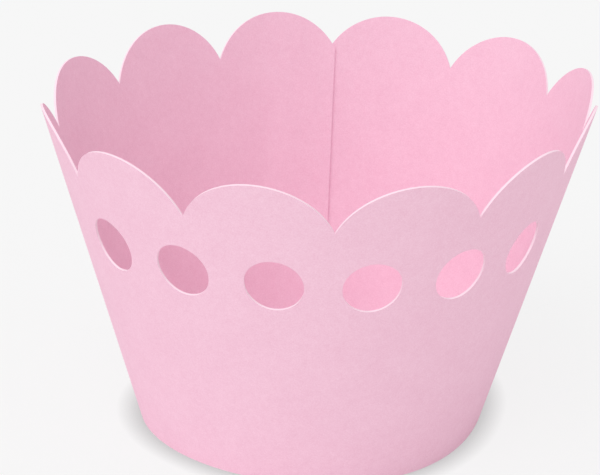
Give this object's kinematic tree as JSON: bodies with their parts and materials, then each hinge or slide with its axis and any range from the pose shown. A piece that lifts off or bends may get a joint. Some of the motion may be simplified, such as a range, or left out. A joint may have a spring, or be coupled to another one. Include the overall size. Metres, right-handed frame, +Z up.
{
  "type": "cupcake wrapper",
  "caption": "Open conical card wrapper for a cupcake, with a scalloped top edge, six round die-cut holes across the front and a glued lap at the back.",
  "frame": {"origin": "middle of the footprint box, on the table the wrapper stands on", "axes": "+Z up through the open top; -Y towards the front with the row of holes; +X to the right seen from the front; the glued lap is at the back, towards +Y"},
  "size_m": [0.079, 0.0824, 0.05],
  "materials": {
    "card": "matte pink card"
  },
  "bodies": {
    "root": {"wrapper": "card"}
  },
  "joints": []
}
